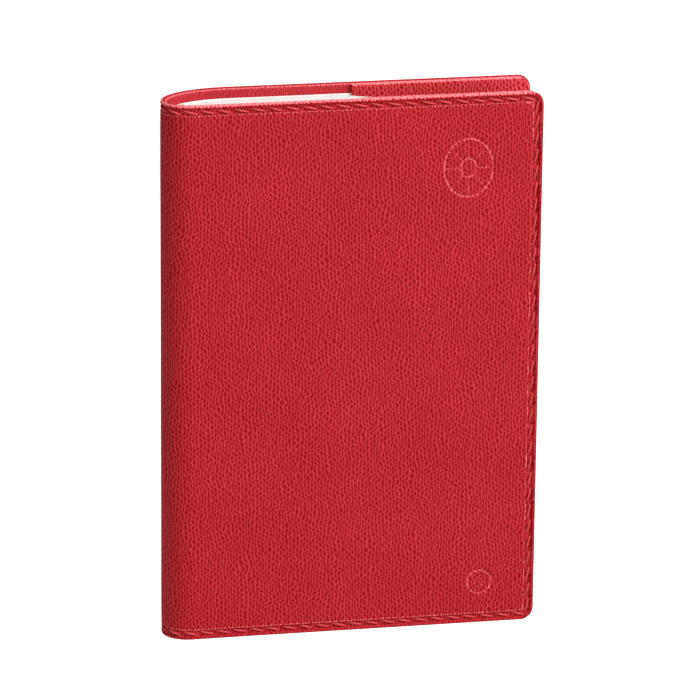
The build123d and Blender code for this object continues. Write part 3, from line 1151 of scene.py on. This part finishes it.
def uneven_end(level, uneven):
    """How far a leaf's head or foot lies off the trimmed height, at levels near 0 and 1."""
    if 0.01 <= level <= 0.99:
        return 0.0
    inward = -1 if level > 0.5 else 1
    at_end = 1 if level in (0.0, 1.0) else 0.9
    return (1 - uneven) * 0.1 * mm * inward * at_end


def make_section(number):
    """One section of folded leaves, as a slab with a row of faces for each group of leaves."""
    shares = station_shares()
    columns = len(shares) - 1
    bm = raised_grid(columns, leaf_rows)
    for level in (0.004, 0.996):
        cut_across(bm, (0, 0, level), (0, 0, 1))
    leaves = bm.loops.layers.uv.new("leaves")
    maps = {}
    for vert in bm.verts:
        along = shares[round((vert.co.x + 0.5) * columns)]
        row = round((vert.co.y + 0.5) * leaf_rows)
        share = row / leaf_rows
        x, y = leaf_place(number, share, along)
        uneven = noise.noise(Vector((number * 5.1 + row * 1.7, 0.5, 0.0)))
        x += uneven * 0.16 * mm * max(0.0, along - 0.9) * 10
        z = leaf_foot + (leaf_head - leaf_foot) * vert.co.z + uneven_end(vert.co.z, uneven)
        maps[vert] = ((number + share) * leaf_rows, (x + z) * 8)
        vert.co = (x, y, z)
    bmesh.ops.recalc_face_normals(bm, faces=bm.faces[:])
    bm.normal_update()
    for face in bm.faces:
        is_page = abs(face.normal.y) > 0.7 and abs(face.normal.z) < 0.3
        face.material_index = 0 if is_page else 1
        for loop in face.loops:
            loop[leaves].uv = maps[loop.vert]
    sharpen(bm)
    return bm


for number in range(section_count):
    node = f"section_{number + 1}"
    piece = make_object(make_section(number), f"{node}_piece", [page_face, page_edge])
    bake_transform(piece)
    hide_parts(node)
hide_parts("section_folds")

# %% [markdown]
# ## Flyleaves
#
# A single heavier leaf is tipped to the first and the last section with a line of glue at its gutter
# edge. It lies just outside the page block and follows its face.

# %% Flyleaves
flyleaf_gap = 0.15 * mm
flyleaf_thickness = 0.2 * mm


def make_flyleaf(side):
    node = f"{side}_flyleaf"
    facing = -1 if side == "front" else 1
    low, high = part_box(node)
    bm = raised_grid(60, 1)
    for vert in bm.verts:
        along = (vert.co.x + 0.5) ** 1.6
        x = low.x + (high.x - low.x) * along
        limit = block_limits(x)[0 if side == "front" else 1]
        outer = vert.co.y > 0
        y = limit + facing * (flyleaf_gap + (flyleaf_thickness if outer else 0))
        vert.co = (x, y, low.z + (high.z - low.z) * vert.co.z)
    bmesh.ops.recalc_face_normals(bm, faces=bm.faces[:])
    sharpen(bm)
    piece = make_object(bm, f"{node}_piece", [endpaper])
    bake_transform(piece)
    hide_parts(node)


for side in chains:
    make_flyleaf(side)

# %% [markdown]
# ## Pieces that stay as the CAD made them
#
# The mull, glue, tapes and sewing thread are hidden in the spine and already have their true shape.
# They keep their meshes and get their own finishes.

# %% Spine binding finishes
for node, material in (("mull", mull_gauze), ("spine_glue", glue), ("sewing_tapes", linen_tape),
                       ("sewing_thread", linen_thread)):
    kept = frame["nodes"][node]
    for slot in kept.material_slots:
        slot.material = material
    print(node, "keeps its CAD mesh,", len(kept.data.polygons), "faces")

# %% [markdown]
# ## Camera, floor and light
#
# A long lens from a little to the left and above, as a product shot is taken, keeps the upright
# edges nearly parallel. The floor and the surroundings are plain white. A large soft lamp stands to
# the front right and above, so the rolled spine at the left falls gently into shade, and a smaller
# one overhead lights the head edges.

# %% Camera
def aim_camera(turn, tilt, roll, distance, lens, aside, above):
    """A camera looking along a turn and tilt at the middle of the book, in degrees and metres."""
    turn, tilt, roll = (math.radians(angle) for angle in (turn, tilt, roll))
    look = Vector((math.sin(turn) * math.cos(tilt), math.cos(turn) * math.cos(tilt), -math.sin(tilt)))
    right = Vector((math.cos(turn), -math.sin(turn), 0))
    up = right.cross(look)
    data = bpy.data.cameras.new("camera")
    data.lens, data.sensor_width = lens, 36
    data.clip_end = 20
    made = add_object("camera", data)
    place = Vector((0, 0, height / 2)) - look * distance + right * aside + up * above
    leaned = right * math.cos(roll) + up * math.sin(roll), up * math.cos(roll) - right * math.sin(roll)
    axes = Matrix((leaned[0], leaned[1], -look)).transposed()
    made.matrix_world = Matrix.Translation(place) @ axes.to_4x4()
    bpy.context.scene.camera = made


aim_camera(turn=10.96, tilt=18.49, roll=0.56, distance=1.428, lens=262.4, aside=0.88 * mm,
           above=2.48 * mm)
print("camera at", [round(x, 3) for x in bpy.context.scene.camera.matrix_world.translation])


# %% Floor
def seen_directly(tree, strength):
    """A strength for what the camera sees straight on, and nothing for the light it would throw."""
    path = add(tree, "ShaderNodeLightPath")
    return maths(tree, "MULTIPLY", (path, "Is Camera Ray"), strength)


def paper_sweep(tone, glow_strength):
    """White paper that the camera sees nearly as bright as the surroundings."""
    material, tree, shader = new_material("white_paper_sweep")
    faint = add(tree, "ShaderNodeTexNoise", Scale=3.0, Detail=1.0)
    in_object_space(tree, faint)
    colour_by(tree, shader, (faint, "Fac"), [(0.0, (tone,) * 3), (1.0, (tone + 0.02,) * 3)])
    shader.inputs["Roughness"].default_value = 0.9
    shader.inputs["Emission Color"].default_value = (1, 1, 1, 1)
    glow = seen_directly(tree, glow_strength)
    join(tree, glow[0], "Value", shader, "Emission Strength")
    return material


bpy.ops.mesh.primitive_plane_add(size=12)
floor = bpy.context.object
floor.name = "floor"
floor.data.materials.append(paper_sweep(tone=0.9, glow_strength=0.85))


# %% Lamps and surroundings
def soft_lamp(name, place, aim, size, power):
    data = bpy.data.lights.new(name, "AREA")
    data.shape, data.size, data.energy = "SQUARE", size, power
    made = add_object(name, data)
    made.location = place
    made.rotation_euler = (Vector(aim) - Vector(place)).to_track_quat("-Z", "Y").to_euler()


book_middle = (0, 0, height / 2)
soft_lamp("key_lamp", (0.85, -0.80, 0.80), book_middle, 0.6, 14.9)
soft_lamp("top_lamp", (0.1, -0.42, 1.25), book_middle, 0.4, 9.5)


def white_room(light_strength, seen_strength):
    world = bpy.data.worlds.new("white_room")
    world.use_nodes = True
    tree = world.node_tree
    extra = seen_directly(tree, seen_strength - light_strength)
    total = maths(tree, "ADD", extra, light_strength)
    join(tree, total[0], "Value", tree.nodes["Background"], "Strength")
    tree.nodes["Background"].inputs["Color"].default_value = (1, 1, 1, 1)
    bpy.context.scene.world = world


white_room(light_strength=0.32, seen_strength=1.0)
bpy.context.scene.view_settings.view_transform = "Standard"
